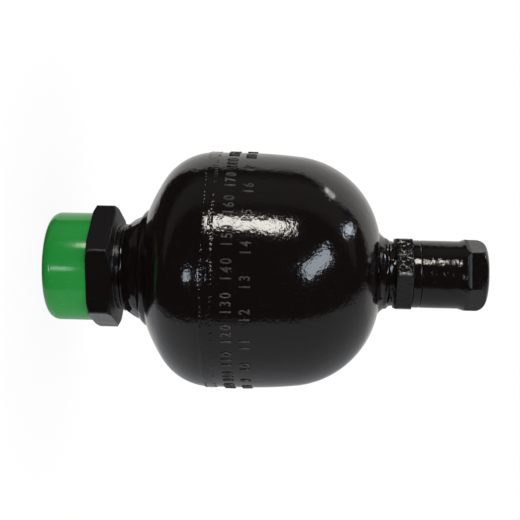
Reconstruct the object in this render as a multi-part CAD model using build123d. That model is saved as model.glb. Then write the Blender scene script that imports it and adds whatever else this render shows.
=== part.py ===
from build123d import *
import math
import os

# Welded bladder accumulator, standing on its fluid port with the gas valve up.
# Millimetres.  Z is the vessel axis and z = 0 is the flat end of the port's protective cap.

# Fits
THREAD_CLEARANCE = 0.05      # radial, between a male thread and its female thread in one assembly
CAP_THREAD_CLEARANCE = 0.08  # radial, for the gas cap that is unscrewed in service
PUSH_CLEARANCE = 0.30        # radial, for the soft cap pushed over the port thread
SLIDING_CLEARANCE = 0.05     # radial, for the poppet's stem and the valve pin
SEAT_GAP = 0.05              # axial, left between moving faces at the end of their stroke
OVERCUT = 1.0                # how far a cutting tool runs past the face it opens

# Vessel
BODY_DIA = 115.0
SHELL_WALL = 4.0
PORT_KNUCKLE_RADIUS = 28.2   # dished end at the fluid side: edge arc and crown arc
PORT_CROWN_RADIUS = 80.3
PORT_SKIRT = 0.3             # straight length between that end and the girth weld
GAS_SKIRT = 14.7             # straight length between the girth weld and the drawn barrel
BARREL_RADIUS = 235.0        # long arc that narrows the gas half
BARREL_LENGTH = 26.4
KNUCKLE_RADIUS = 44.8        # arc that closes the gas half

# Girth weld
WELD_ROOT_GAP = 1.6
WELD_TOP_WIDTH = 6.4
WELD_CROWN = 0.35

# Fluid port
PORT_CAP_DIA = 53.0
PORT_CAP_LENGTH = 22.0
PORT_CAP_FLOOR = 2.5
PORT_CAP_EDGE_RADIUS = 5.2
PORT_THREAD_DIA = 47.8
PORT_THREAD_STANDOFF = 1.0   # end of the thread to the floor of the cap
PORT_THREAD_RELIEF = 1.8     # depth of the run-out groove under the hexagon
PORT_RELIEF_LENGTH = 3.2
PORT_THREAD_CHAMFER = 1.5
PORT_HEX_FLATS = 54.0
PORT_HEX_THICKNESS = 11.2
PORT_HEX_CORNER = -15.0      # degrees from -Y to the nearest corner
HEX_CHAMFER_ANGLE = 30.0
HEX_EDGE_SHARE = 0.014       # edge radius of a hexagon, as a share of its flats
HEX_CHAMFER_DIA_SHARE = 1.07  # diameter left flat at a hexagon's end, as a share of its flats
COLLAR_DIA = 41.2
COLLAR_LENGTH = 4.3
SPIGOT_DIA = 31.0            # male thread that screws up into the vessel's neck
INLET_DIA = 23.2             # bore below the guide
THROAT_DIA = 21.0            # bore between the guide and the poppet's seat
SEAT_DEPTH = 3.0             # 45 degree seat at the inner end

# Port neck and its weld
NECK_JOINT_GAP = 0.4
NECK_STANDOFF = 5.9          # collar to the apex that the dished end would have
NECK_BASE_DIA = 41.8
NECK_BOSS_DIA = 51.6
NECK_FLARE_ANGLE = 33.0      # degrees from the axis
NECK_INNER_STANDOFF = 1.5    # how far the boss stands into the vessel
NECK_WELD_REACH = 3.2        # radially along the dished end
SEAL_SECTION = 2.6
SEAL_SEAT_CLEARANCE = 0.1

# Anti-extrusion poppet
POPPET_LIFT = 7.0
POPPET_HEAD_CLEARANCE = 0.1
POPPET_RIM = 1.4
POPPET_CROWN = 1.3
POPPET_STEM_DIA = 8.0
GUIDE_THICKNESS = 8.0
GUIDE_DEPTH = 10.2           # seat face of the spigot to the upper face of the guide
GUIDE_HOLE_COUNT = 6
GUIDE_HOLE_DIA = 4.2
GUIDE_HOLE_CIRCLE = 16.4
GUIDE_CLEARANCE = 0.02
SNAP_RING_THICKNESS = 1.4
SNAP_RING_SECTION = 2.2
SNAP_GROOVE_DEPTH = 0.9
SNAP_RING_OPENING = 30.0     # degrees
STEM_NUT_FLATS = 13.0
STEM_NUT_HEIGHT = 6.5
STEM_END = 1.0
SPRING_MEAN_DIA = 14.0
SPRING_WIRE = 1.2
SPRING_TURNS = 4.5

# Gas neck
GAS_NECK_DIA = 31.4
GAS_NECK_HEIGHT = 7.2        # above the top of the gas half
GAS_NECK_INNER_STANDOFF = 2.0
GAS_WELD_LEG = 6.0
GAS_WELD_REACH = 4.7
GAS_WELD_HOLLOW = 0.5

# Bladder and its stem
BLADDER_DIA = 88.0
BLADDER_WALL = 2.5
BLADDER_LIP_DIA = 35.0
BLADDER_LIP_COVER = 1.5      # rubber over each face of the stem's flange
BLADDER_POPPET_GAP = 4.0
BLADDER_END_RADIUS = 30.0
STEM_DIA = 22.0
STEM_BORE = 6.0
STEM_FLANGE_DIA = 29.0
STEM_FLANGE_THICKNESS = 2.5
STEM_THREAD_ABOVE_RING = 10.0
STEM_SOCKET_DIA = 13.0
STEM_SOCKET_DEPTH = 10.0
STEM_SEAL_SECTION = 2.1
STEM_SEAL_GROOVE_WIDTH = 2.7

# Gas side outside the vessel
GAS_NUT_FLATS = 34.0
GAS_NUT_THICKNESS = 8.0
RING_DIA = 33.0
RING_THICKNESS = 4.2
RING_EDGE = 0.35
GAS_CAP_BARREL_DIA = 33.0
GAS_CAP_BARREL_LENGTH = 18.8
GAS_CAP_HEAD_LENGTH = 13.3
GAS_CAP_HEAD_DIA = 34.9
GAS_CAP_HEAD_FLATS = 30.5
GAS_CAP_HEAD_RAMP = 3.0
GAS_CAP_END_RADIUS = 5.2
GAS_CAP_FLAT_START = 2.2     # run-out of the flats above the barrel
GAS_CAP_FLAT_RUNOUT = 2.6    # radius of that run-out
GAS_CAP_ROOF = 3.2
GAS_CAP_CAVITY_DIA = 20.8
GAS_CAP_HEX_CORNER = -38.0   # degrees from -Y to the nearest corner

# Gas valve
VALVE_HEX_FLATS = 17.0
VALVE_HEX_HEIGHT = 4.5
VALVE_NECK_DIA = 10.0
VALVE_NECK_HEIGHT = 8.0
VALVE_BORE = 5.2
VALVE_PASSAGE = 3.2
VALVE_SEAL_THICKNESS = 1.0
CORE_LENGTH = 13.5
CORE_CLEARANCE = 0.04
CORE_RECESS = 0.4
PIN_DIA = 1.2
PIN_STROKE = 1.5
PIN_PROUD = 0.8
PIN_FOOT_DIA = 2.4
PIN_FOOT_HEIGHT = 1.0
SEAL_CAP_FLATS = 14.0
SEAL_CAP_HEIGHT = 11.0
SEAL_CAP_ROOM = 1.4          # above the valve's neck
SEAL_WASHER_THICKNESS = 0.6

# Heights worked out from the sizes above, going up
BODY_R = BODY_DIA / 2
z_thread_end = PORT_CAP_FLOOR + PORT_THREAD_STANDOFF
z_port_hex = PORT_CAP_LENGTH
z_collar = z_port_hex + PORT_HEX_THICKNESS
z_collar_top = z_collar + COLLAR_LENGTH
z_neck = z_collar_top + NECK_JOINT_GAP

# The dished end's crown arc is centred on the axis and meets its knuckle arc in one tangent
port_knuckle_r = BODY_R - PORT_KNUCKLE_RADIUS
port_crown_rise = math.sqrt((PORT_CROWN_RADIUS - PORT_KNUCKLE_RADIUS) ** 2 - port_knuckle_r ** 2)
port_tangent = math.degrees(math.atan2(port_crown_rise, port_knuckle_r))
z_port_crown = z_collar_top + NECK_STANDOFF + PORT_CROWN_RADIUS
z_equator = z_port_crown - port_crown_rise
z_girth = z_equator + PORT_SKIRT
z_barrel = z_girth + GAS_SKIRT
z_barrel_end = z_barrel + BARREL_LENGTH

# The barrel arc leans inwards at its end, and the knuckle arc carries on from it
barrel_lean = math.asin(BARREL_LENGTH / BARREL_RADIUS)
barrel_end_r = BODY_R - BARREL_RADIUS * (1 - math.cos(barrel_lean))
knuckle_r = barrel_end_r - KNUCKLE_RADIUS * math.cos(barrel_lean)
knuckle_z = z_barrel_end - KNUCKLE_RADIUS * math.sin(barrel_lean)
z_gas_top = knuckle_z + KNUCKLE_RADIUS


def port_dome_height(radius, inset=0.0):
    """Height of the dished end's crown at a radius; inset moves in through the wall."""
    return z_port_crown - math.sqrt((PORT_CROWN_RADIUS - inset) ** 2 - radius ** 2)


def gas_dome_height(radius, inset=0.0):
    """Height of the knuckle at a radius; inset moves in through the wall."""
    return knuckle_z + math.sqrt((KNUCKLE_RADIUS - inset) ** 2 - (radius - knuckle_r) ** 2)


neck_boss_r = NECK_BOSS_DIA / 2
z_neck_inner = port_dome_height(neck_boss_r, SHELL_WALL) + NECK_INNER_STANDOFF
z_seat = z_neck_inner - SEAT_DEPTH
z_guide_top = z_neck_inner - GUIDE_DEPTH
z_guide = z_guide_top - GUIDE_THICKNESS
z_poppet = z_seat + SEAT_GAP + POPPET_LIFT
z_poppet_top = z_poppet + SEAT_DEPTH + POPPET_RIM + POPPET_CROWN
z_stem_nut_top = z_guide - SEAT_GAP

gas_neck_r = GAS_NECK_DIA / 2
z_gas_neck_inner = gas_dome_height(gas_neck_r, SHELL_WALL) - GAS_NECK_INNER_STANDOFF
z_gas_nut = z_gas_top + GAS_NECK_HEIGHT
z_ring = z_gas_nut + GAS_NUT_THICKNESS
z_gas_cap = z_ring + RING_THICKNESS
z_gas_head = z_gas_cap + GAS_CAP_BARREL_LENGTH
z_top = z_gas_head + GAS_CAP_HEAD_LENGTH
z_stem_top = z_gas_cap + STEM_THREAD_ABOVE_RING
z_flange_top = z_gas_neck_inner - BLADDER_LIP_COVER
z_flange = z_flange_top - STEM_FLANGE_THICKNESS
z_lip = z_flange - BLADDER_LIP_COVER
z_bladder_end = z_poppet_top + BLADDER_POPPET_GAP
z_valve_hex = z_stem_top + VALVE_SEAL_THICKNESS
z_valve_neck = z_valve_hex + VALVE_HEX_HEIGHT
z_valve_top = z_valve_neck + VALVE_NECK_HEIGHT
z_core_top = z_valve_top - CORE_RECESS
z_core = z_core_top - CORE_LENGTH
z_stem_socket = z_stem_top - STEM_SOCKET_DEPTH


def turned(*edges):
    """Solid of revolution about Z from edges drawn as (radius, height)."""
    return revolve(Plane.XZ * make_face(edges), Axis.Z)


def turned_outline(*corners):
    """Solid of revolution from straight (radius, height) corners."""
    return turned(*Polyline(*corners, close=True).edges())


def rod(radius, z_low, z_high):
    return Pos(0, 0, z_low) * Cylinder(radius, z_high - z_low, align=(Align.CENTER, Align.CENTER, Align.MIN))


def ring(inner_r, outer_r, z_low, z_high):
    return rod(outer_r, z_low, z_high) - rod(inner_r, z_low - OVERCUT, z_high + OVERCUT)


def o_ring(inner_r, section, z_low):
    """Round-section seal that sits on z_low around inner_r."""
    return Pos(0, 0, z_low + section / 2) * Torus(inner_r + section / 2, section / 2)


def hexagon_bar(flats, z_low, z_high, corner_angle):
    """Hexagonal bar with softened edges and a corner at corner_angle from -Y."""
    outline = RegularPolygon(flats / math.sqrt(3), 6, rotation=corner_angle - 90)
    softened = fillet(outline.vertices(), HEX_EDGE_SHARE * flats)
    return Pos(0, 0, z_low) * extrude(softened, z_high - z_low)


def chamfered_hexagon(flats, z_low, z_high, corner_angle, lower=True, upper=True):
    """Hexagon whose corners are turned off by a cone at one or both ends."""
    corner_r = flats / math.sqrt(3) + OVERCUT
    flat_r = flats * HEX_CHAMFER_DIA_SHARE / 2
    drop = (corner_r - flat_r) * math.tan(math.radians(HEX_CHAMFER_ANGLE))
    outline = [(0, z_low)]
    outline += [(flat_r, z_low), (corner_r, z_low + drop)] if lower else [(corner_r, z_low)]
    outline += [(corner_r, z_high - drop), (flat_r, z_high)] if upper else [(corner_r, z_high)]
    outline += [(0, z_high)]
    return hexagon_bar(flats, z_low, z_high, corner_angle) & turned_outline(*outline)


def port_dome_solid(inset, z_high):
    """Filled dished end with its straight skirt, drawn in by inset."""
    radius = BODY_R - inset
    crown = CenterArc((0, z_port_crown), PORT_CROWN_RADIUS - inset, 270, 90 - port_tangent)
    knuckle = CenterArc((port_knuckle_r, z_equator), PORT_KNUCKLE_RADIUS - inset, -port_tangent, port_tangent)
    skirt = Polyline((radius, z_equator), (radius, z_high), (0, z_high), crown @ 0)
    return turned(crown, knuckle, *skirt.edges())


def gas_dome_solid(inset, z_low):
    """Filled gas half: straight skirt, long barrel arc and closing knuckle."""
    radius = BODY_R - inset
    lean = math.degrees(barrel_lean)
    barrel = CenterArc((BODY_R - BARREL_RADIUS, z_barrel), BARREL_RADIUS - inset, 0, lean)
    knuckle = CenterArc((knuckle_r, knuckle_z), KNUCKLE_RADIUS - inset, lean, 90 - lean)
    foot = Polyline(knuckle @ 1, (0, z_gas_top - inset), (0, z_low), (radius, z_low), (radius, z_barrel))
    return turned(barrel, knuckle, *foot.edges())


def make_girth_weld():
    """Bead that fills the V between the two half shells and stands just proud of them."""
    inner_r = BODY_R - SHELL_WALL
    root = WELD_ROOT_GAP / 2
    top = WELD_TOP_WIDTH / 2
    crown = ThreePointArc((BODY_R, z_girth + top), (BODY_R + WELD_CROWN, z_girth), (BODY_R, z_girth - top))
    groove = Polyline(
        (BODY_R, z_girth - top),
        (inner_r, z_girth - root),
        (inner_r, z_girth + root),
        (BODY_R, z_girth + top),
    )
    return turned(crown, *groove.edges())


def make_shell_port_half(girth_weld):
    cup = port_dome_solid(0, z_girth) - port_dome_solid(SHELL_WALL, z_girth + OVERCUT)
    return cup - rod(neck_boss_r, 0, z_girth - PORT_SKIRT) - girth_weld


def make_shell_gas_half(girth_weld):
    cup = gas_dome_solid(0, z_girth) - gas_dome_solid(SHELL_WALL, z_girth - OVERCUT)
    return cup - rod(gas_neck_r, z_barrel, z_top) - girth_weld


def neck_flare_top():
    return z_neck + (NECK_BOSS_DIA - NECK_BASE_DIA) / 2 / math.tan(math.radians(NECK_FLARE_ANGLE))


def make_port_neck():
    """Flared, threaded boss set through the dished end."""
    boss = turned_outline(
        (0, z_neck),
        (NECK_BASE_DIA / 2, z_neck),
        (neck_boss_r, neck_flare_top()),
        (neck_boss_r, z_neck_inner),
        (0, z_neck_inner),
    )
    thread = rod(SPIGOT_DIA / 2 + THREAD_CLEARANCE, z_neck - OVERCUT, z_neck_inner + OVERCUT)
    seal_seat_r = SPIGOT_DIA / 2 + SEAL_SECTION + SEAL_SEAT_CLEARANCE
    seal_seat = rod(seal_seat_r, z_neck - OVERCUT, z_collar_top + SEAL_SECTION)
    return boss - thread - seal_seat


def make_port_neck_weld():
    """Fillet bead from the top of the boss's flare to the dished end."""
    toe_z = neck_flare_top()
    reach_r = neck_boss_r + NECK_WELD_REACH
    toe = (neck_boss_r, toe_z)
    heel = (reach_r, port_dome_height(reach_r))
    middle = ((toe[0] + heel[0]) / 2, (toe[1] + heel[1]) / 2)
    face = ThreePointArc(heel, (middle[0] + WELD_CROWN, middle[1] - WELD_CROWN), toe)
    inner_r = neck_boss_r - OVERCUT
    back = Polyline(toe, (inner_r, toe_z), (inner_r, heel[1]), heel)
    bead = turned(face, *back.edges())
    return bead - rod(neck_boss_r, 0, z_girth) - port_dome_solid(0, z_girth)


def make_port_body():
    """Hexagon with the pipe thread below it and the vessel spigot above it, bored through."""
    thread_r = PORT_THREAD_DIA / 2
    relief_r = thread_r - PORT_THREAD_RELIEF
    outer = turned_outline(
        (0, z_thread_end),
        (thread_r - PORT_THREAD_CHAMFER, z_thread_end),
        (thread_r, z_thread_end + PORT_THREAD_CHAMFER),
        (thread_r, z_port_hex - PORT_RELIEF_LENGTH - PORT_THREAD_RELIEF),
        (relief_r, z_port_hex - PORT_RELIEF_LENGTH),
        (relief_r, z_port_hex + OVERCUT),
        (COLLAR_DIA / 2, z_port_hex + OVERCUT),
        (COLLAR_DIA / 2, z_collar_top),
        (SPIGOT_DIA / 2, z_collar_top),
        (SPIGOT_DIA / 2, z_neck_inner),
        (0, z_neck_inner),
    )
    flange = chamfered_hexagon(PORT_HEX_FLATS, z_port_hex, z_collar, PORT_HEX_CORNER)
    bore = turned_outline(
        (0, z_thread_end - OVERCUT),
        (INLET_DIA / 2, z_thread_end - OVERCUT),
        (INLET_DIA / 2, z_guide_top),
        (THROAT_DIA / 2, z_guide_top),
        (THROAT_DIA / 2, z_seat),
        (THROAT_DIA / 2 + SEAT_DEPTH + OVERCUT, z_neck_inner + OVERCUT),
        (0, z_neck_inner + OVERCUT),
    )
    groove = rod(INLET_DIA / 2 + SNAP_GROOVE_DEPTH, z_guide - SNAP_RING_THICKNESS, z_guide)
    return outer + flange - bore - groove


def make_port_seal():
    return o_ring(SPIGOT_DIA / 2, SEAL_SECTION, z_collar_top)


def make_port_cap():
    """Soft cup pushed over the pipe thread up to the hexagon."""
    outer_r = PORT_CAP_DIA / 2
    edge = PORT_CAP_EDGE_RADIUS
    corner = CenterArc((outer_r - edge, edge), edge, 270, 90)
    wall = Polyline(
        (outer_r, edge),
        (outer_r, PORT_CAP_LENGTH),
        (0, PORT_CAP_LENGTH),
        (0, 0),
        (outer_r - edge, 0),
    )
    cup = turned(corner, *wall.edges())
    return cup - rod(PORT_THREAD_DIA / 2 + PUSH_CLEARANCE, PORT_CAP_FLOOR, PORT_CAP_LENGTH + OVERCUT)


def make_poppet():
    """Mushroom valve: conical seat face, thin rim, crowned top and a long stem."""
    head_low_r = THROAT_DIA / 2 - POPPET_HEAD_CLEARANCE
    head_r = head_low_r + SEAT_DEPTH
    z_rim = z_poppet + SEAT_DEPTH
    z_crown = z_rim + POPPET_RIM
    stem_r = POPPET_STEM_DIA / 2
    z_stem_end = z_stem_nut_top - STEM_NUT_HEIGHT - STEM_END
    crown_r = (head_r ** 2 + POPPET_CROWN ** 2) / (2 * POPPET_CROWN)
    crown_span = math.degrees(math.asin(head_r / crown_r))
    crown = CenterArc((0, z_poppet_top - crown_r), crown_r, 90 - crown_span, crown_span)
    body = Polyline(
        (0, z_poppet_top),
        (0, z_stem_end),
        (stem_r, z_stem_end),
        (stem_r, z_poppet),
        (head_low_r, z_poppet),
        (head_r, z_rim),
        (head_r, z_crown),
    )
    return turned(crown, *body.edges())


def make_poppet_guide():
    """Bush that carries the poppet's stem, with a ring of flow holes."""
    blank = rod(INLET_DIA / 2 - GUIDE_CLEARANCE, z_guide, z_guide_top)
    stem_hole = rod(POPPET_STEM_DIA / 2 + SLIDING_CLEARANCE, z_guide - OVERCUT, z_guide_top + OVERCUT)
    flow_hole = rod(GUIDE_HOLE_DIA / 2, z_guide - OVERCUT, z_guide_top + OVERCUT)
    flow_holes = PolarLocations(GUIDE_HOLE_CIRCLE / 2, GUIDE_HOLE_COUNT) * flow_hole
    return blank - stem_hole - flow_holes


def make_guide_snap_ring():
    """Open ring sprung into the groove under the guide."""
    outer_r = INLET_DIA / 2 + SNAP_GROOVE_DEPTH - GUIDE_CLEARANCE
    full = ring(outer_r - SNAP_RING_SECTION, outer_r, z_guide - SNAP_RING_THICKNESS, z_guide)
    opening = outer_r * 2 * math.tan(math.radians(SNAP_RING_OPENING / 2))
    slot = Box(outer_r, opening, SNAP_RING_THICKNESS * 2, align=(Align.MIN, Align.CENTER, Align.CENTER))
    return full - Pos(0, 0, z_guide - SNAP_RING_THICKNESS / 2) * slot


def make_poppet_stem_nut():
    nut = chamfered_hexagon(STEM_NUT_FLATS, z_stem_nut_top - STEM_NUT_HEIGHT, z_stem_nut_top, 0, upper=False)
    hole = rod(POPPET_STEM_DIA / 2 + GUIDE_CLEARANCE, 0, z_stem_nut_top + OVERCUT)
    return nut - hole


def make_poppet_spring():
    """Coil between the guide and the underside of the poppet's head."""
    z_low = z_guide_top + SPRING_WIRE / 2 + SEAT_GAP
    z_high = z_poppet - SPRING_WIRE / 2 - SEAT_GAP
    path = Helix((z_high - z_low) / SPRING_TURNS, z_high - z_low, SPRING_MEAN_DIA / 2)
    section = Plane(origin=path @ 0, z_dir=path % 0) * Circle(SPRING_WIRE / 2)
    return Pos(0, 0, z_low) * sweep(section, path=path)


def make_gas_neck():
    """Plain boss set through the gas half, which the bladder's stem passes."""
    return ring(STEM_DIA / 2 + THREAD_CLEARANCE, gas_neck_r, z_gas_neck_inner, z_gas_nut)


def make_gas_neck_weld():
    """Hollow fillet bead between the gas neck and the knuckle."""
    reach_r = gas_neck_r + GAS_WELD_REACH
    toe = (gas_neck_r, gas_dome_height(gas_neck_r) + GAS_WELD_LEG)
    heel = (reach_r, gas_dome_height(reach_r))
    middle = ((toe[0] + heel[0]) / 2, (toe[1] + heel[1]) / 2)
    face = ThreePointArc(toe, (middle[0] - GAS_WELD_HOLLOW, middle[1] - GAS_WELD_HOLLOW), heel)
    inner_r = gas_neck_r - OVERCUT
    back = Polyline(heel, (inner_r, heel[1]), (inner_r, toe[1]), toe)
    bead = turned(face, *back.edges())
    return bead - rod(gas_neck_r, z_barrel, z_top) - gas_dome_solid(0, z_girth)


def bladder_solid(inset):
    """Filled bladder at its moulded shape, drawn in by inset."""
    side_r = BLADDER_DIA / 2
    lip_r = BLADDER_LIP_DIA / 2
    shoulder_r = side_r - lip_r
    end_r = BLADDER_END_RADIUS
    shoulder = CenterArc((lip_r, z_lip - shoulder_r), shoulder_r - inset, 0, 90)
    end = CenterArc((side_r - end_r, z_bladder_end + end_r), end_r - inset, 270, 90)
    side = Line(end @ 1, shoulder @ 0)
    middle = Polyline(shoulder @ 1, (0, z_lip - inset), (0, z_bladder_end + inset), end @ 0)
    return turned(shoulder, end, side, *middle.edges())


def make_bladder_stem():
    """Steel stem with the flange that the rubber is moulded round."""
    stem_r = STEM_DIA / 2
    outer = turned_outline(
        (0, z_flange),
        (STEM_FLANGE_DIA / 2, z_flange),
        (STEM_FLANGE_DIA / 2, z_flange_top),
        (stem_r, z_flange_top),
        (stem_r, z_stem_top),
        (0, z_stem_top),
    )
    passage = rod(STEM_BORE / 2, z_flange - OVERCUT, z_stem_top)
    socket = rod(STEM_SOCKET_DIA / 2, z_stem_socket, z_stem_top + OVERCUT)
    z_groove = (z_gas_neck_inner + z_gas_nut - STEM_SEAL_GROOVE_WIDTH) / 2
    groove_r = stem_r + THREAD_CLEARANCE - STEM_SEAL_SECTION
    groove = ring(groove_r, stem_r + OVERCUT, z_groove, z_groove + STEM_SEAL_GROOVE_WIDTH)
    return outer - passage - socket - groove


def make_bladder(bladder_stem):
    """Rubber bag with a thick lip that wraps the stem's flange and seals under the gas neck."""
    lip = rod(BLADDER_LIP_DIA / 2, z_lip - OVERCUT, z_gas_neck_inner)
    bag = bladder_solid(0) + lip - bladder_solid(BLADDER_WALL)
    mouth = rod(STEM_BORE / 2, z_lip - BLADDER_WALL - OVERCUT, z_flange + OVERCUT)
    return bag - bladder_stem - mouth - rod(STEM_DIA / 2, z_flange, z_gas_nut)


def make_stem_seal():
    z_low = (z_gas_neck_inner + z_gas_nut - STEM_SEAL_SECTION) / 2
    return o_ring(STEM_DIA / 2 + THREAD_CLEARANCE - STEM_SEAL_SECTION, STEM_SEAL_SECTION, z_low)


def make_gas_lock_nut():
    nut = chamfered_hexagon(GAS_NUT_FLATS, z_gas_nut, z_ring, 0)
    return nut - rod(STEM_DIA / 2 + THREAD_CLEARANCE, z_gas_nut - OVERCUT, z_ring + OVERCUT)


def make_stem_spacer_ring():
    outer_r = RING_DIA / 2
    body = turned_outline(
        (0, z_ring),
        (outer_r - RING_EDGE, z_ring),
        (outer_r, z_ring + RING_EDGE),
        (outer_r, z_gas_cap - RING_EDGE),
        (outer_r - RING_EDGE, z_gas_cap),
        (0, z_gas_cap),
    )
    return body - rod(STEM_DIA / 2 + THREAD_CLEARANCE, z_ring - OVERCUT, z_gas_cap + OVERCUT)


def make_gas_valve_body():
    """Valve body: thread in the stem's socket, hexagon, and a neck for the charging hose."""
    tail = rod(STEM_SOCKET_DIA / 2 - THREAD_CLEARANCE, z_stem_socket, z_valve_hex + OVERCUT)
    flange = chamfered_hexagon(VALVE_HEX_FLATS, z_valve_hex, z_valve_neck, 0, lower=False)
    neck = rod(VALVE_NECK_DIA / 2, z_valve_neck - OVERCUT, z_valve_top)
    passage = rod(VALVE_PASSAGE / 2, z_stem_socket - OVERCUT, z_valve_top)
    core_bore = rod(VALVE_BORE / 2, z_core, z_valve_top + OVERCUT)
    return tail + flange + neck - passage - core_bore


def make_gas_valve_seal():
    return ring(STEM_SOCKET_DIA / 2, VALVE_HEX_FLATS / 2, z_stem_top, z_valve_hex)


def make_valve_core():
    pin_hole = PIN_DIA / 2 + SLIDING_CLEARANCE
    return ring(pin_hole, VALVE_BORE / 2 - CORE_CLEARANCE, z_core, z_core_top)


def make_valve_pin():
    """Pin that opens the gas valve when pressed, with the sealing foot at its lower end."""
    z_foot = z_core - SEAT_GAP - PIN_FOOT_HEIGHT
    pin = rod(PIN_DIA / 2, z_foot, z_core_top + PIN_PROUD)
    return pin + rod(PIN_FOOT_DIA / 2, z_foot, z_foot + PIN_FOOT_HEIGHT)


def make_valve_seal_cap():
    """Hexagonal blanking nut over the gas valve's neck."""
    z_low = z_valve_neck + SEAL_WASHER_THICKNESS
    nut = chamfered_hexagon(SEAL_CAP_FLATS, z_low, z_low + SEAL_CAP_HEIGHT, 0)
    room = rod(VALVE_NECK_DIA / 2 + THREAD_CLEARANCE, z_low - OVERCUT, z_valve_top + SEAL_CAP_ROOM)
    return nut - room


def make_valve_cap_washer():
    washer_r = VALVE_NECK_DIA / 2 + THREAD_CLEARANCE
    return ring(washer_r, SEAL_CAP_FLATS / 2, z_valve_neck, z_valve_neck + SEAL_WASHER_THICKNESS)


def gas_cap_flat_cutter():
    """Tool for one wrench flat: it runs in on a radius, so the flat fades into the barrel."""
    flat_x = GAS_CAP_HEAD_FLATS / 2
    z_low = z_gas_head + GAS_CAP_FLAT_START
    runout = GAS_CAP_FLAT_RUNOUT
    reach = GAS_CAP_HEAD_DIA
    lead_in = CenterArc((flat_x + runout, z_low + runout), runout, 180, 90)
    outline = Polyline(
        (flat_x + runout, z_low),
        (flat_x + reach, z_low),
        (flat_x + reach, z_top + OVERCUT),
        (flat_x, z_top + OVERCUT),
        (flat_x, z_low + runout),
    )
    face = Plane.XZ * make_face([lead_in, *outline.edges()])
    return extrude(face, reach / 2, both=True)


def make_gas_cap():
    """Turned cap whose end is a rounded hexagon with flats let in below the barrel."""
    barrel_r = GAS_CAP_BARREL_DIA / 2
    head_r = GAS_CAP_HEAD_DIA / 2
    end = GAS_CAP_END_RADIUS
    corner = CenterArc((head_r - end, z_top - end), end, 0, 90)
    outline = Polyline(
        (head_r - end, z_top),
        (0, z_top),
        (0, z_gas_cap),
        (barrel_r - RING_EDGE, z_gas_cap),
        (barrel_r, z_gas_cap + RING_EDGE),
        (barrel_r, z_gas_head),
        (head_r, z_gas_head + GAS_CAP_HEAD_RAMP),
        (head_r, z_top - end),
    )
    blank = turned(corner, *outline.edges())
    flat_angle = GAS_CAP_HEX_CORNER - 90 + 30
    flats = Rot(0, 0, flat_angle) * PolarLocations(0, 6) * gas_cap_flat_cutter()
    thread = rod(STEM_DIA / 2 + CAP_THREAD_CLEARANCE, z_gas_cap - OVERCUT, z_stem_top + PIN_STROKE)
    cavity = rod(GAS_CAP_CAVITY_DIA / 2, z_gas_cap, z_top - GAS_CAP_ROOF)
    return blank - flats - thread - cavity


def build_parts():
    girth_weld = make_girth_weld()
    bladder_stem = make_bladder_stem()
    return {
        "shell_port_half": make_shell_port_half(girth_weld),
        "shell_gas_half": make_shell_gas_half(girth_weld),
        "girth_weld": girth_weld,
        "port_neck": make_port_neck(),
        "port_neck_weld": make_port_neck_weld(),
        "gas_neck": make_gas_neck(),
        "gas_neck_weld": make_gas_neck_weld(),
        "port_body": make_port_body(),
        "port_seal_ring": make_port_seal(),
        "port_cap": make_port_cap(),
        "poppet": make_poppet(),
        "poppet_guide": make_poppet_guide(),
        "guide_snap_ring": make_guide_snap_ring(),
        "poppet_stem_nut": make_poppet_stem_nut(),
        "poppet_spring": make_poppet_spring(),
        "bladder_stem": bladder_stem,
        "bladder": make_bladder(bladder_stem),
        "stem_seal_ring": make_stem_seal(),
        "gas_lock_nut": make_gas_lock_nut(),
        "stem_spacer_ring": make_stem_spacer_ring(),
        "gas_valve_body": make_gas_valve_body(),
        "gas_valve_seal": make_gas_valve_seal(),
        "valve_core": make_valve_core(),
        "valve_pin": make_valve_pin(),
        "valve_seal_cap": make_valve_seal_cap(),
        "valve_cap_washer": make_valve_cap_washer(),
        "gas_cap": make_gas_cap(),
    }


os.makedirs("parts", exist_ok=True)
for node, shape in build_parts().items():
    export_step(shape, f"parts/{node}.step")
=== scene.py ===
import math

import bpy
from mathutils import Matrix, Vector, noise
from mathutils.bvhtree import BVHTree

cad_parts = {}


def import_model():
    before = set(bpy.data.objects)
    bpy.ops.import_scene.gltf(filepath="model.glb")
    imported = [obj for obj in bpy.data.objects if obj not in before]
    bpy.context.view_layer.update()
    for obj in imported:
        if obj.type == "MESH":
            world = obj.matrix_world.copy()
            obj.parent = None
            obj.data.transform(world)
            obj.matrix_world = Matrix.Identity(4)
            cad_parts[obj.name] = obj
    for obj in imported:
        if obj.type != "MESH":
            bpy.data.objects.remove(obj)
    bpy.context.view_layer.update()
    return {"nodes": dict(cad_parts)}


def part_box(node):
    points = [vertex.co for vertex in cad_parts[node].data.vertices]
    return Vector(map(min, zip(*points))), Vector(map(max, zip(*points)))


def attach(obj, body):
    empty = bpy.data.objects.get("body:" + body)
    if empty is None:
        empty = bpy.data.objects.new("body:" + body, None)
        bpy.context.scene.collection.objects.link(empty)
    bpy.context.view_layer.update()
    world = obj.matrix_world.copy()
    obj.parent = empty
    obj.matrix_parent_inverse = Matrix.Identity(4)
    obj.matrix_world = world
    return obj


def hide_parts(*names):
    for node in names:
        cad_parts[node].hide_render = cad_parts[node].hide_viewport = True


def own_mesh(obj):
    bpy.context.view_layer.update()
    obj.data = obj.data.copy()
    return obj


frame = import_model()
nodes = frame["nodes"]
box = {name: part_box(name) for name in nodes}
scene = bpy.context.scene
MM = 0.001
FULL_TURN = 2 * math.pi


# ---------------------------------------------------------------- node graphs

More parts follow.
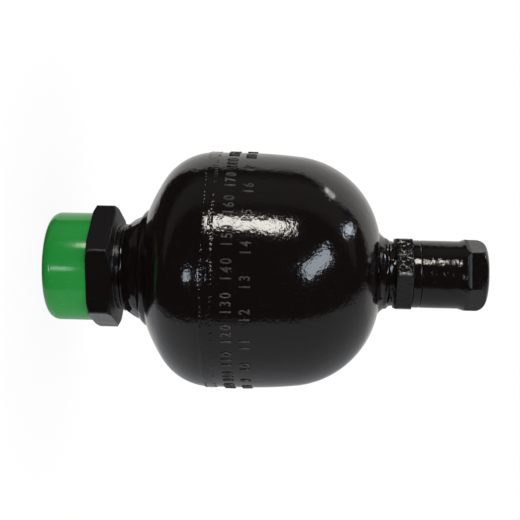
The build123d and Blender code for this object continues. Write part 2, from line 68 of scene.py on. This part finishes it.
class Graph:
    """Short way to write a node tree: each call adds one node and returns its output."""

    def __init__(self, tree):
        self.tree = tree
        tree.nodes.clear()

    def add(self, kind, inputs=None, **settings):
        node = self.tree.nodes.new(kind)
        for key, value in settings.items():
            setattr(node, key, value)
        for key, value in (inputs or {}).items():
            self.set(node.inputs[key], value)
        return node

    def set(self, socket, value):
        if isinstance(value, bpy.types.NodeSocket):
            self.tree.links.new(value, socket)
        else:
            socket.default_value = value

    def place(self):
        """The piece's own coordinates, in metres."""
        return self.add("ShaderNodeTexCoord").outputs["Object"]

    def parts(self, vector):
        """The x, y and z of a vector."""
        return self.add("ShaderNodeSeparateXYZ", {0: vector}).outputs

    def math(self, operation, a, b=0.0):
        return self.add("ShaderNodeMath", {0: a, 1: b}, operation=operation).outputs[0]

    def vector(self, operation, inputs, output=0):
        return self.add("ShaderNodeVectorMath", inputs, operation=operation).outputs[output]

    def step(self, value, low, high, to_low=0.0, to_high=1.0):
        """Smooth step of value from low to high."""
        inputs = {"Value": value, "From Min": low, "From Max": high,
                  "To Min": to_low, "To Max": to_high}
        node = self.add("ShaderNodeMapRange", inputs, interpolation_type="SMOOTHSTEP")
        return node.outputs[0]

    def mix(self, factor, a, b):
        """Colour mix from a to b."""
        node = self.add("ShaderNodeMix", data_type="RGBA")
        for index, value in ((0, factor), (6, a), (7, b)):
            self.set(node.inputs[index], value)
        return node.outputs[2]

    def noise(self, vector, scale, detail=2.0, rough=0.5):
        inputs = {"Vector": vector, "Scale": scale, "Detail": detail, "Roughness": rough}
        return self.add("ShaderNodeTexNoise", inputs).outputs["Fac"]

    def bump(self, height, distance, normal=None):
        inputs = {"Height": height, "Distance": distance}
        if normal is not None:
            inputs["Normal"] = normal
        return self.add("ShaderNodeBump", inputs).outputs[0]


def material(name):
    made = bpy.data.materials.new(name)
    made.use_nodes = True
    return made, Graph(made.node_tree)


def close(g, shader):
    g.add("ShaderNodeOutputMaterial", {"Surface": shader})


def surface(g, colour, rough, normal, **more):
    """Closes the tree with one surface shader; more sets further inputs of it by name."""
    inputs = {"Base Color": colour, "Roughness": rough, "Normal": normal, **more}
    close(g, g.add("ShaderNodeBsdfPrincipled", inputs).outputs[0])


# ---------------------------------------------------------------- materials

GLOSS_IOR = 1.5

# noise scales of the paint, in cells per metre
FINE_SCALE, MIDDLE_SCALE, BROAD_SCALE, CLOUD_SCALE = 650.0, 300.0, 85.0, 35.0
DUST_SCALE, PIT_SCALE = 900.0, 1300.0

PAINT_TINTS = (0.0066, 0.0040, 0.0038, 1), (0.0046, 0.0031, 0.0034, 1)
DUST_TINT = (0.03, 0.026, 0.022, 1)
# lighter grey for the numbers: a painted sheen that stands in for glints on their strokes
PAINTED_SHEEN_TINT = (0.075, 0.068, 0.062, 1)
# light grey for side corners: paint rubbed through, and also a painted highlight line along the
# corners
RUBBED_GLINT_TINT = (0.62, 0.60, 0.56, 1)
GREEN_TINTS = (0.012, 0.290, 0.034, 1), (0.026, 0.335, 0.060, 1)
SCUFF_TINT = (0.12, 0.42, 0.10, 1)
RUBBER_TINTS = (0.013, 0.013, 0.014, 1), (0.026, 0.025, 0.025, 1)
STEEL_TINTS = (0.52, 0.52, 0.51, 1), (0.34, 0.34, 0.33, 1)
VALVE_TINTS = (0.56, 0.55, 0.52, 1), (0.38, 0.37, 0.34, 1)
SPRING_TINTS = (0.36, 0.35, 0.34, 1), (0.20, 0.19, 0.19, 1)
BRASS_TINTS = (0.78, 0.57, 0.28, 1), (0.60, 0.41, 0.18, 1)


def paint(name, peel, wave, rounded=0.0, grit=0.0, painted_sheen=0.0, ends=0.0, edge=0.0, dull=0.0,
          runout=0.0, pitch=0.0, thread=None):
    """Black gloss paint: orange peel (peel), slow waves (wave) and dust specks.

    rounded: radius that softens edges; grit: depth of pits; worn: a lighter grey, mottled by fine
    noise, laid over the whole piece as a painted sheen that stands in for glints;
    ends: added roughness on end faces; edge: paint rubbed thin along side corners, and there a
    light grey that is also a painted highlight line;
    dull: added roughness all over; runout: height below which tilted run-outs are dull;
    pitch, thread: see thread_bump. Depths and radii are in metres."""
    made, g = material(name)
    place = g.place()
    fine = g.noise(place, FINE_SCALE)
    middle = g.noise(place, MIDDLE_SCALE)
    broad = g.noise(place, BROAD_SCALE)
    cloud = g.noise(place, CLOUD_SCALE, 3.0, 0.6)
    speck = g.step(g.noise(place, DUST_SCALE, 1.0), 0.70, 0.78)
    colour = g.mix(cloud, *PAINT_TINTS)
    colour = g.mix(g.math("MULTIPLY", speck, 0.35), colour, DUST_TINT)
    rough = g.math("ADD", g.math("MULTIPLY", cloud, 0.08), 0.06)
    rough = g.math("ADD", rough, g.math("MULTIPLY", speck, 0.08))
    # painted sheen: the colour turns lighter grey all over, mottled by fine noise
    if painted_sheen:
        share = g.math("ADD", g.math("MULTIPLY", fine, 0.8), painted_sheen)
        colour = g.mix(share, colour, PAINTED_SHEEN_TINT)
        rough = g.math("ADD", rough, 0.22)
    if dull:
        rough = g.math("ADD", rough, dull)
    if ends:
        facing = g.add("ShaderNodeTexCoord").outputs["Normal"]
        lean = g.math("ABSOLUTE", g.parts(facing)[2])
        rough = g.math("ADD", rough, g.step(lean, 0.55, 0.80, 0.0, ends))
    normal = None
    if rounded:
        normal = g.add("ShaderNodeBevel", {"Radius": rounded}, samples=6).outputs[0]
    if runout:
        below = g.math("LESS_THAN", g.parts(place)[2], runout)
        band = g.math("MULTIPLY", g.step(g.parts(normal)[2], 0.03, 0.12), below)
        rough = g.math("ADD", rough, g.math("MULTIPLY", band, 0.45))
    # painted highlight: light grey along the rounded side corners, partly paint rubbed through
    if edge:
        flat = g.add("ShaderNodeNewGeometry").outputs["Normal"]
        same = g.vector("DOT_PRODUCT", {0: normal, 1: flat}, "Value")
        tilt = g.math("ABSOLUTE", g.parts(normal)[2])
        patchy = g.step(middle, 0.30, 0.62, edge * 0.5, edge)
        rubbed_glint = g.math("MULTIPLY", g.step(same, 0.985, 0.93), patchy)
        rubbed_glint = g.math("MULTIPLY", rubbed_glint, g.step(tilt, 0.20, 0.05))
        colour = g.mix(rubbed_glint, colour, RUBBED_GLINT_TINT)
        rough = g.math("ADD", rough, g.math("MULTIPLY", rubbed_glint, 0.25))
    normal = g.bump(broad, wave, normal)
    normal = g.bump(middle, wave * 0.4, normal)
    normal = g.bump(fine, peel, normal)
    if grit:
        normal = g.bump(g.noise(place, PIT_SCALE, 3.0, 0.6), grit, normal)
    if thread:
        normal = thread_bump(g, place, pitch, thread, normal)
    surface(g, colour, rough, normal, IOR=GLOSS_IOR)
    return made


def plastic(name, middle_z):
    """Green moulded plastic with faint specks and scuffs, its wall crowned about middle_z."""
    made, g = material(name)
    place = g.place()
    cloud = g.noise(place, 60.0, 3.0, 0.6)
    grain = g.noise(place, 1500.0)
    stretch = {"Vector": place, "Scale": (1.0, 1.0, 0.25)}
    drawn = g.add("ShaderNodeMapping", stretch).outputs[0]
    scuff = g.step(g.noise(drawn, 500.0, 4.0, 0.7), 0.60, 0.74)
    colour = g.mix(cloud, *GREEN_TINTS)
    colour = g.mix(g.math("MULTIPLY", scuff, 0.30), colour, SCUFF_TINT)
    rough = g.math("ADD", g.math("MULTIPLY", cloud, 0.10), 0.10)
    rough = g.math("ADD", rough, g.math("MULTIPLY", scuff, 0.12))
    off = g.math("SUBTRACT", g.parts(place)[2], middle_z)
    crown = g.math("MULTIPLY", g.math("MULTIPLY", off, off), -2.7)
    normal = g.bump(crown, 1.0)
    normal = g.bump(cloud, 0.00004, normal)
    normal = g.bump(grain, 0.000006, normal)
    surface(g, colour, rough, normal, IOR=GLOSS_IOR)
    return made


def metal(name, tints, rough_low, rough_high, pitch=0.0, thread=None):
    """Machined metal: turning marks round the axis, stains, and a thread cut where asked."""
    made, g = material(name)
    place = g.place()
    cloud = g.noise(place, 130.0, 4.0, 0.6)
    squeeze = {"Vector": place, "Scale": (0.02, 0.02, 1.0)}
    lines = g.noise(g.add("ShaderNodeMapping", squeeze).outputs[0], 4000.0)
    colour = g.mix(cloud, *tints)
    rough = g.math("ADD", g.math("MULTIPLY", lines, rough_high - rough_low), rough_low)
    normal = g.bump(lines, 0.000004)
    if thread:
        normal = thread_bump(g, place, pitch, thread, normal)
    surface(g, colour, rough, normal, Metallic=1.0)
    return made


def thread_bump(g, place, pitch, spans, normal):
    """Ridges of a screw thread; spans is lowest and highest z, then least and largest radius."""
    x, y, z = g.parts(place)
    turn = g.math("DIVIDE", g.math("ARCTAN2", y, x), FULL_TURN)
    squares = g.math("ADD", g.math("MULTIPLY", x, x), g.math("MULTIPLY", y, y))
    radius = g.math("SQRT", squares)
    phase = g.math("SUBTRACT", g.math("DIVIDE", z, pitch), turn)
    ridge = g.math("ABSOLUTE", g.math("SUBTRACT", g.math("FRACT", phase), 0.5))
    low, high, inner, outer = spans
    fade = pitch / 2
    inside = g.math("MULTIPLY", g.step(z, low, low + fade), g.step(z, high, high - fade))
    inside = g.math("MULTIPLY", inside, g.math("GREATER_THAN", radius, inner))
    inside = g.math("MULTIPLY", inside, g.math("LESS_THAN", radius, outer))
    return g.bump(g.math("MULTIPLY", ridge, inside), pitch * 1.1, normal)


def rubber(name):
    """Matt black rubber with a fine grain."""
    made, g = material(name)
    place = g.place()
    cloud = g.noise(place, 180.0, 4.0, 0.6)
    grain = g.noise(place, 2200.0)
    colour = g.mix(cloud, *RUBBER_TINTS)
    rough = g.math("ADD", g.math("MULTIPLY", cloud, 0.15), 0.48)
    surface(g, colour, rough, g.bump(grain, 0.00003))
    return made


port_end = box["port_body"][0].z
stem_high = box["bladder_stem"][1].z
valve_high = box["gas_valve_body"][1].z
cap_top = box["gas_cap"][1].z
green_middle = (box["port_cap"][0].z + box["port_cap"][1].z) / 2
PORT_THREAD = (port_end + 1.0 * MM, port_end + 14.6 * MM, 23.2 * MM, 24.4 * MM)
STEM_THREAD = (stem_high - 9.6 * MM, stem_high - 0.5 * MM, 10.6 * MM, 11.3 * MM)
VALVE_THREAD = (valve_high - 4.4 * MM, valve_high - 0.3 * MM, 3.4 * MM, 4.4 * MM)

SHELL_PAINT = paint("black_paint_shell", 0.00008, 0.00016)
WELD_PAINT = paint("black_paint_weld", 0.00004, 0.00020)
HARD_PAINT = paint("black_paint_hardware", 0.00006, 0.00024,
                   rounded=0.0010, grit=0.000008, ends=0.45)
# edge gives the hexagon and the nut a light grey line on their side corners, a painted highlight
# that is partly rubbed paint
HEX_PAINT = paint("black_paint_hexagon", 0.00010, 0.00030, rounded=0.0012, grit=0.00003,
                  ends=0.35, edge=0.30, dull=0.10, pitch=2.309 * MM, thread=PORT_THREAD)
NUT_PAINT = paint("black_paint_nut", 0.00022, 0.00036,
                  rounded=0.0016, grit=0.00004, ends=0.45, edge=1.0)
CAP_PAINT = paint("black_paint_cap", 0.00010, 0.00026,
                  rounded=0.0002, grit=0.00002, runout=cap_top - 7 * MM)
# the numbers get a lighter grey here, a painted sheen for the glints of their relief
NUMBER_PAINT = paint("black_paint_numbers", 0.00004, 0.00020, painted_sheen=0.10)
GREEN = plastic("green_plastic_cap", green_middle)
STEEL = metal("steel_turned", STEEL_TINTS, 0.22, 0.40)
STEM_STEEL = metal("steel_stem_thread", STEEL_TINTS, 0.22, 0.40,
                   pitch=1.5 * MM, thread=STEM_THREAD)
VALVE_STEEL = metal("steel_valve_thread", VALVE_TINTS, 0.20, 0.38,
                    pitch=0.8 * MM, thread=VALVE_THREAD)
SPRING = metal("spring_steel_drawn", SPRING_TINTS, 0.25, 0.42)
BRASS = metal("brass_turned", BRASS_TINTS, 0.20, 0.36)
RUBBER = rubber("rubber_moulded")

LOOKS = (
    (SHELL_PAINT, ("shell_port_half", "shell_gas_half")),
    (WELD_PAINT, ("girth_weld", "port_neck", "port_neck_weld", "gas_neck_weld")),
    (HARD_PAINT, ("gas_neck", "stem_spacer_ring")),
    (HEX_PAINT, ("port_body",)),
    (NUT_PAINT, ("gas_lock_nut",)),
    (CAP_PAINT, ("gas_cap",)),
    (GREEN, ("port_cap",)),
    (STEEL, ("poppet", "poppet_guide", "poppet_stem_nut", "valve_seal_cap")),
    (STEM_STEEL, ("bladder_stem",)),
    (VALVE_STEEL, ("gas_valve_body",)),
    (SPRING, ("poppet_spring", "guide_snap_ring")),
    (BRASS, ("valve_core", "valve_pin")),
    (RUBBER, ("bladder", "port_seal_ring", "stem_seal_ring", "gas_valve_seal",
              "valve_cap_washer")),
)
for look, names in LOOKS:
    for name in names:
        slots = nodes[name].data.materials
        slots.clear()
        slots.append(look)


# ---------------------------------------------------------------- pieces

def tree_of(*names):
    """Search tree over the meshes of these CAD nodes."""
    points, faces = [], []
    for name in names:
        mesh = nodes[name].data
        start = len(points)
        points += [v.co.copy() for v in mesh.vertices]
        faces += [tuple(start + i for i in p.vertices) for p in mesh.polygons]
    return BVHTree.FromPolygons(points, faces)


def outer_radius(tree, z):
    """Largest radius of the CAD surface at height z."""
    angle, reach = 0.3, 0.2
    way = Vector((math.cos(angle), math.sin(angle), 0))
    hit = tree.ray_cast(way * reach + Vector((0, 0, z)), -way)[0]
    return math.hypot(hit.x, hit.y) if hit else 0.0


def add_piece(name, points, faces, look, flat_caps=False):
    """Smooth mesh piece that rides with the vessel; flat_caps keeps its many-sided faces flat."""
    mesh = bpy.data.meshes.new(name)
    mesh.from_pydata(points, [], faces)
    mesh.update()
    for face in mesh.polygons:
        face.use_smooth = not (flat_caps and len(face.vertices) > 4)
    mesh.materials.append(look)
    piece = bpy.data.objects.new(name, mesh)
    scene.collection.objects.link(piece)
    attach(piece, "vessel")
    return piece


def skin_profile(tree, low, high, rows):
    """(radius, height) points up the outside of the solids in tree."""
    heights = [low + (high - low) * (i / rows) for i in range(rows + 1)]
    return [(outer_radius(tree, z), z) for z in heights]


def faded(h, ends, sink):
    """Lift h in mm, led into the surface where ends falls to 0, as metres."""
    return (h * ends - sink * (1 - ends)) * MM


def spun(name, profile, count, lift):
    """Painted skin turned round the axis and pushed out along its normal by
    lift(angle, share of the profile, z)."""
    last = len(profile) - 1
    out = []
    for i in range(len(profile)):
        a, b = profile[max(i - 1, 0)], profile[min(i + 1, last)]
        dr, dz = b[0] - a[0], b[1] - a[1]
        size = math.hypot(dr, dz) or 1.0
        out.append((dz / size, -dr / size))
    points, faces = [], []
    for k in range(count):
        angle = FULL_TURN * k / count
        c, s = math.cos(angle), math.sin(angle)
        for i, (r, z) in enumerate(profile):
            h = lift(angle, i / last, z)
            rr, zz = r + out[i][0] * h, z + out[i][1] * h
            points.append((rr * c, rr * s, zz))
    n = len(profile)
    for k in range(count):
        m = (k + 1) % count
        for i in range(last):
            faces.append((k * n + i, m * n + i, m * n + i + 1, k * n + i + 1))
    add_piece(name, points, faces, WELD_PAINT)


RIPPLES = 186    # ripple ends round the seam, on each side of it
# of each side: place along the axis, half width and height in mm, then lean and phase
RIPPLE_SIDES = ((-1.75, 0.42, 0.27, 0.4, 0.0), (2.7, 0.60, 0.32, 1.5, 1.9))


def girth_bead():
    """Seam round the middle: a low crown with a groove, a thin ridge and ripple ends each side."""
    low, high = box["girth_weld"]
    middle, half = (low.z + high.z) / 2, (high.z - low.z) / 2
    shell_r = outer_radius(tree_of("shell_gas_half"), high.z + 3 * MM)
    crown = high.x - shell_r
    start, end = -3.3 * MM, 4.3 * MM
    rows, skin = 48, 0.02 * MM
    profile = []
    for i in range(rows + 1):
        away = start + (end - start) * i / rows
        w = away / half
        r = shell_r + (crown * (1 - w * w) if abs(w) < 1 else 0.0) + skin
        profile.append((r, middle + away))

    def lift(angle, share, z):
        d = (z - middle) / MM
        here = Vector((math.cos(angle), math.sin(angle), 0))
        drift = noise.noise(here * 7)
        h = 0.05 * noise.noise(here * 24 + Vector((0, 0, d * 0.5)))
        groove = (d - 0.15 - 0.15 * drift) / 0.28
        h -= 0.16 * math.exp(-groove ** 2)
        broken = max(0.0, noise.noise(here * 46 + Vector((0, 0, 3.0))) + 0.25)
        ridge = (d - 1.15 - 0.15 * drift) / 0.34
        h += 0.13 * broken * math.exp(-ridge ** 2)
        for place, wide, tall, lean, shift in RIPPLE_SIDES:
            phase = angle * RIPPLES + lean * (d - place) + shift + 2.2 * drift
            cell = math.floor(phase / FULL_TURN + 0.5)
            luck = noise.cell(Vector((cell * 1.37 + 0.5, shift * 3.1 + 0.5, 0.5)))
            beat = max(0.0, math.cos(phase))
            off = place + 0.35 * (luck - 0.5)
            rise = tall * math.exp(-((d - off) / wide) ** 2)
            h += rise * beat ** 1.5 * (0.25 + 0.75 * luck)
        return faded(h, min(1.0, share * 9, (1 - share) * 7), 0.07)

    spun("girth_bead", profile, 1860, lift)


def port_weld_passes():
    """Hand-laid passes that build up the neck at the fluid side, and the fillet of paint and
    weld where the neck meets the port body."""
    tree = tree_of("port_neck", "port_neck_weld", "shell_port_half", "port_body")
    neck = box["port_neck"][0].z
    low, high = neck - 2.2 * MM, box["port_neck_weld"][1].z + 1.2 * MM

    def lift(angle, share, z):
        c, s = math.cos(angle), math.sin(angle)
        swell = noise.noise(Vector((c * 2.2, s * 2.2, share * 1.7)))
        lump = noise.noise(Vector((c * 5.5, s * 5.5, share * 3.0 + 4)))
        ring = math.cos((share - 0.42 - 0.08 * swell) * FULL_TURN * 1.15)
        h = 0.15 + 0.30 * ring + 0.50 * swell + 0.40 * lump
        h = h * min(1.0, max(0.0, (z - neck + 0.6 * MM) / (2 * MM)))
        fillet = (z - neck + 0.8 * MM) / (1.0 * MM)
        h += 1.1 * math.exp(-fillet ** 2)
        return faded(h, min(1.0, share * 9, (1 - share) * 5), 0.25)

    spun("port_weld_passes", skin_profile(tree, low, high, 60), 720, lift)


def gas_weld_passes():
    """The same at the gas side, tighter and rougher."""
    tree = tree_of("gas_neck", "gas_neck_weld", "shell_gas_half")
    low, high = box["gas_neck_weld"][0].z - 0.4 * MM, box["gas_neck"][1].z - 0.15 * MM

    def lift(angle, share, z):
        c, s = math.cos(angle), math.sin(angle)
        swell = noise.noise(Vector((c * 2.2 + 5, s * 2.2, share * 2.0)))
        lump = noise.noise(Vector((c * 6, s * 6, share * 3.5 + 9)))
        ring = math.sin(share * FULL_TURN * 2.1 + 1.1 + 0.8 * swell)
        h = 0.12 + 0.30 * ring + 0.34 * swell + 0.26 * lump
        ends = min(1.0, max(0.0, share * 3.2 - 0.3), (1 - share) * 6)
        return faded(h, ends, 0.25)

    spun("gas_weld_passes", skin_profile(tree, low, high, 54), 560, lift)


def poppet_coil():
    """The poppet's spring again, as a coil piece that takes the place of the CAD spring."""
    low, high = box["poppet_spring"]
    wire_r, turns = 0.6 * MM, 4.5
    around, across = 72, 14    # rings to a turn, and points to a ring
    mean = high.x - wire_r
    start, rise = low.z + wire_r, high.z - low.z - 2 * wire_r
    climb = rise / (turns * 2 * math.pi)
    length = math.hypot(mean, climb)
    points, faces = [], []
    rings = round(turns * around)
    for k in range(rings + 1):
        angle = FULL_TURN * k / around
        out = Vector((math.cos(angle), math.sin(angle), 0))
        ahead = Vector((-mean * out.y, mean * out.x, climb)) / length
        up = ahead.cross(out)
        centre = out * mean + Vector((0, 0, start + climb * angle))
        for i in range(across):
            turn = FULL_TURN * i / across
            points.append(centre + (out * math.cos(turn) + up * math.sin(turn)) * wire_r)
    for k in range(rings):
        here, after = k * across, (k + 1) * across
        for i in range(across):
            j = (i + 1) % across
            faces.append((here + i, here + j, after + j, after + i))
    faces.append(tuple(reversed(range(across))))
    faces.append(tuple(rings * across + i for i in range(across)))
    piece = add_piece("poppet_coil", points, faces, SPRING, flat_caps=True)
    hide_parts("poppet_spring")
    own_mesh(piece)


def glyph(character):
    """Points and faces of one digit with rounded strokes, about 1 high."""
    curve = bpy.data.curves.new("digit", "FONT")
    curve.body = character
    curve.size = 1.0
    curve.offset = -0.028
    curve.bevel_depth = 0.060
    curve.bevel_resolution = 2
    curve.resolution_u = 4
    holder = bpy.data.objects.new("digit", curve)
    mesh = bpy.data.meshes.new_from_object(holder)
    points = [v.co.copy() for v in mesh.vertices]
    faces = [tuple(p.vertices) for p in mesh.polygons]
    bpy.data.objects.remove(holder)
    bpy.data.curves.remove(curve)
    bpy.data.meshes.remove(mesh)
    return points, faces


NUMBER_PITCH = 3.8 * MM     # from one digit to the next, round the shell
NUMBER_SQUEEZE = 0.74       # width of a digit, as a share of its drawn width
NUMBER_RELIEF = 1.5         # height of the strokes over the shell, likewise
NUMBER_ROOT = 0.2 * MM      # how far their backs reach into the shell


def number_row(name, words, z_low, z_high, start, glyphs):
    """Raised plain numbers round the barrel; they read across the axis."""
    tree = tree_of("shell_gas_half")
    zero = [p.y for p in glyphs["0"][0]]
    scale = (z_high - z_low) / (max(zero) - min(zero))
    middle_r = outer_radius(tree, (z_low + z_high) / 2)
    points, faces = [], []
    for index, character in enumerate(words):
        if character == " ":
            continue
        shape, cells = glyphs[character]
        low = min(p.x for p in shape)
        high = max(p.x for p in shape)
        base = min(p.y for p in shape)
        first = len(points)
        for p in shape:
            across = (p.x - (low + high) / 2) * scale * NUMBER_SQUEEZE
            angle = start + (across + index * NUMBER_PITCH) / middle_r
            z = z_high - (p.y - base) * scale
            r = outer_radius(tree, z) if p.z >= 0 else outer_radius(tree, z) - NUMBER_ROOT
            r += max(p.z, 0.0) * scale * NUMBER_RELIEF
            points.append((-r * math.sin(angle), -r * math.cos(angle), z))
        faces += [tuple(first + i for i in reversed(cell)) for cell in cells]
    add_piece(name, points, faces, NUMBER_PAINT)


def numbers():
    """Two rows of counting numbers where the object has stamped lettering."""
    glyphs = {c: glyph(c) for c in "0123456789"}
    seam = box["girth_weld"][1].z
    tens = " ".join(str(n) for n in range(10, 250, 10))
    units = "  ".join(str(n) for n in range(1, 24))
    number_row("numbers_row_1", tens, seam + 3.7 * MM, seam + 9.0 * MM, -2.9, glyphs)
    number_row("numbers_row_2", units, seam + 12.1 * MM, seam + 17.3 * MM, -2.7, glyphs)


girth_bead()
port_weld_passes()
gas_weld_passes()
poppet_coil()
numbers()


# ---------------------------------------------------------------- camera

def square_to(back, up):
    """The unit vector nearest to up that is square to back."""
    return (up - up.dot(back) * back).normalized()


def put(made, right, up, back, spot):
    """Places a camera or lamp at spot, facing away from back, and links it."""
    made.matrix_world = Matrix((
        (right.x, up.x, back.x, spot.x),
        (right.y, up.y, back.y, spot.y),
        (right.z, up.z, back.z, spot.z),
        (0, 0, 0, 1)))
    scene.collection.objects.link(made)


def camera():
    """Lying view: the axis runs left to right and leans a little down to the right."""
    eye = Vector((-0.0051, -0.522, 0.1256))
    aim = Vector((-0.0051, 0.0, 0.1031))
    lean = math.radians(1.32)
    back = (eye - aim).normalized()
    up = square_to(back, Vector((-math.cos(lean), 0, -math.sin(lean))))
    data = bpy.data.cameras.new("camera")
    data.sensor_width = 36
    data.lens = 73.4
    data.clip_start = 0.01
    data.clip_end = 50
    made = bpy.data.objects.new("camera", data)
    put(made, up.cross(back), up, back, eye)
    scene.camera = made


camera()


# ---------------------------------------------------------------- light and floor

CENTRE = Vector((0, 0, 0.105))
LAMP_DISTANCE = 2.4
WARM, COOL = (1.0, 0.985, 0.90), (0.80, 0.90, 1.0)

# name, (side, along), width, height, radiance, colour, turn; angles are in degrees
LAMPS = (
    ("tube_warm", (44.8, -2.2), 10.0, 9.6, 20.0, WARM, 0.0),
    ("tube_wide", (42.8, 5.7), 12.5, 6.2, 20.0, WARM, 0.0),
    ("tube_end", (45.6, -9.2), 9.0, 1.4, 20.0, WARM, 0.0),
    ("window_cool", (9.7, 36.1), 14.8, 38.0, 8.0, COOL, -36.0),
    ("pane_near", (-5.2, -16.4), 6.0, 8.0, 8.0, COOL, 0.0),
    ("pane_far", (-6.7, -36.8), 9.2, 12.0, 8.0, COOL, 0.0),
    ("pane_high", (92.0, 61.5), 15.0, 7.0, 9.0, COOL, 0.0),
    ("pane_side", (103.8, 31.8), 3.0, 8.0, 18.0, WARM, 0.0),
)


def toward(side, along):
    """Unit vector at an angle from -Y towards -X (side) and towards +Z (along), in degrees."""
    s, a = math.radians(side), math.radians(along)
    return Vector((-math.sin(s) * math.cos(a), -math.cos(s) * math.cos(a), math.sin(a)))


def lamp(name, way, width, height, radiance, colour, turn):
    """Area lamp in the direction way of the object, its sides given as angles; it shows in
    gloss only. Height runs along +Z before the lamp is turned about its own axis."""
    data = bpy.data.lights.new(name, "AREA")
    data.shape = "RECTANGLE"
    data.size = 2 * LAMP_DISTANCE * math.tan(math.radians(width / 2))
    data.size_y = 2 * LAMP_DISTANCE * math.tan(math.radians(height / 2))
    data.color = colour
    data.energy = radiance * data.size * data.size_y * math.pi
    made = bpy.data.objects.new(name, data)
    back = toward(*way).normalized()
    up = square_to(back, Vector((0, 0, 1)))
    angle = math.radians(turn)
    up = up * math.cos(angle) + up.cross(back) * math.sin(angle)
    made.visible_camera = False
    made.visible_diffuse = False
    put(made, up.cross(back), up, back, CENTRE + back * LAMP_DISTANCE)


EVEN_FILL = (0.97, 0.98, 1.0, 1)
WHITE = (1, 1, 1, 1)
SHEET_TINT = (1.0, 0.99, 0.97)
WALL_TINT = (0.93, 0.96, 1.0)
DARK_FRONT = (0.024, 0.017, 0.016)
SHEET_EDGE = 0.42    # y where the pale sheet behind the object starts
# the sheet's edge bends beyond each z here, by this slope
SHEET_BENDS = ((-0.30, -1.3), (0.10, -0.5), (0.64, 1.7))


def world():
    """Studio room: white to the camera, an even fill for matt surfaces, and for gloss a dark
    front with the pale sheet behind the object, a cool wall below and a hazy ceiling."""
    made = bpy.data.worlds.new("studio")
    made.use_nodes = True
    g = Graph(made.node_tree)
    x, y, z = g.parts(g.add("ShaderNodeTexCoord").outputs["Generated"])

    edge = SHEET_EDGE
    for start, bend in SHEET_BENDS:
        beyond = "MAXIMUM" if start > 0 else "MINIMUM"
        past = g.math(beyond, g.math("SUBTRACT", z, start), 0.0)
        edge = g.math("ADD", g.math("MULTIPLY", past, bend), edge)
    behind = g.step(g.math("SUBTRACT", y, edge), -0.02, 0.04)
    sheet = g.math("MULTIPLY", behind, g.step(x, 0.1, 0.6, 0.75, 0.0))

    slope = g.math("ADD", x, g.math("MULTIPLY", y, 0.544))
    slope = g.math("ADD", slope, g.math("MULTIPLY", z, 0.09))
    nearer = g.step(z, -0.50, -0.10, 1.25, 1.0)
    wall = g.math("MULTIPLY", g.step(slope, 0.34, 0.47, 0.0, 0.45), nearer)

    bearing = g.math("ARCTAN2", g.math("MULTIPLY", x, -1.0), g.math("MULTIPLY", y, -1.0))
    haze = g.math("MULTIPLY", g.step(bearing, 1.0, 1.25), g.step(bearing, 1.95, 1.6, 0.0, 0.15))

    level = g.math("MAXIMUM", sheet, haze)
    front = g.vector("SCALE", {0: SHEET_TINT, "Scale": level})
    below = g.vector("SCALE", {0: WALL_TINT, "Scale": wall})
    room = g.vector("MAXIMUM", {0: front, 1: below})
    room = g.vector("MAXIMUM", {0: room, 1: DARK_FRONT})

    fill, seen, gloss = (
        g.add("ShaderNodeBackground", {"Color": colour, "Strength": 1.0}).outputs[0]
        for colour in (EVEN_FILL, WHITE, room))
    path = g.add("ShaderNodeLightPath").outputs
    mirror = g.math("MAXIMUM", path["Is Glossy Ray"], path["Is Transmission Ray"])
    lit = g.add("ShaderNodeMixShader", {0: mirror, 1: fill, 2: gloss}).outputs[0]
    shown = g.add("ShaderNodeMixShader", {0: path["Is Camera Ray"], 1: lit, 2: seen}).outputs[0]
    g.add("ShaderNodeOutputWorld", {"Surface": shown})
    made.cycles.sampling_method = "NONE"
    scene.world = made


def floor():
    """Pale floor that keeps the object's soft shadow and turns white away from it. The port cap
    stands on it, so it goes with that cap when the cap is pulled off the vessel."""
    mesh = bpy.data.meshes.new("floor")
    r = 6.0
    mesh.from_pydata([(-r, -r, 0), (r, -r, 0), (r, r, 0), (-r, r, 0)], [], [(0, 1, 2, 3)])
    made, g = material("floor_pale")
    place = g.place()
    reach = g.vector("LENGTH", {0: place}, "Value")
    away = g.step(reach, 0.04, 0.14, 0.92, 1.0)
    mottle = g.noise(place, 30.0, 3.0)
    colour = g.mix(mottle, (0.86, 0.86, 0.87, 1), (0.88, 0.88, 0.88, 1))
    matt = g.add("ShaderNodeBsdfDiffuse", {"Color": colour}).outputs[0]
    white = g.add("ShaderNodeEmission", {"Color": WHITE, "Strength": 1.0}).outputs[0]
    camera_ray = g.add("ShaderNodeLightPath").outputs["Is Camera Ray"]
    share = g.math("MULTIPLY", away, camera_ray)
    close(g, g.add("ShaderNodeMixShader", {0: share, 1: matt, 2: white}).outputs[0])
    mesh.materials.append(made)
    piece = bpy.data.objects.new("floor", mesh)
    scene.collection.objects.link(piece)
    piece.visible_glossy = False
    piece.visible_shadow = False
    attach(piece, "port_cap")


for settings in LAMPS:
    lamp(*settings)
world()
floor()
scene.view_settings.view_transform = "Standard"
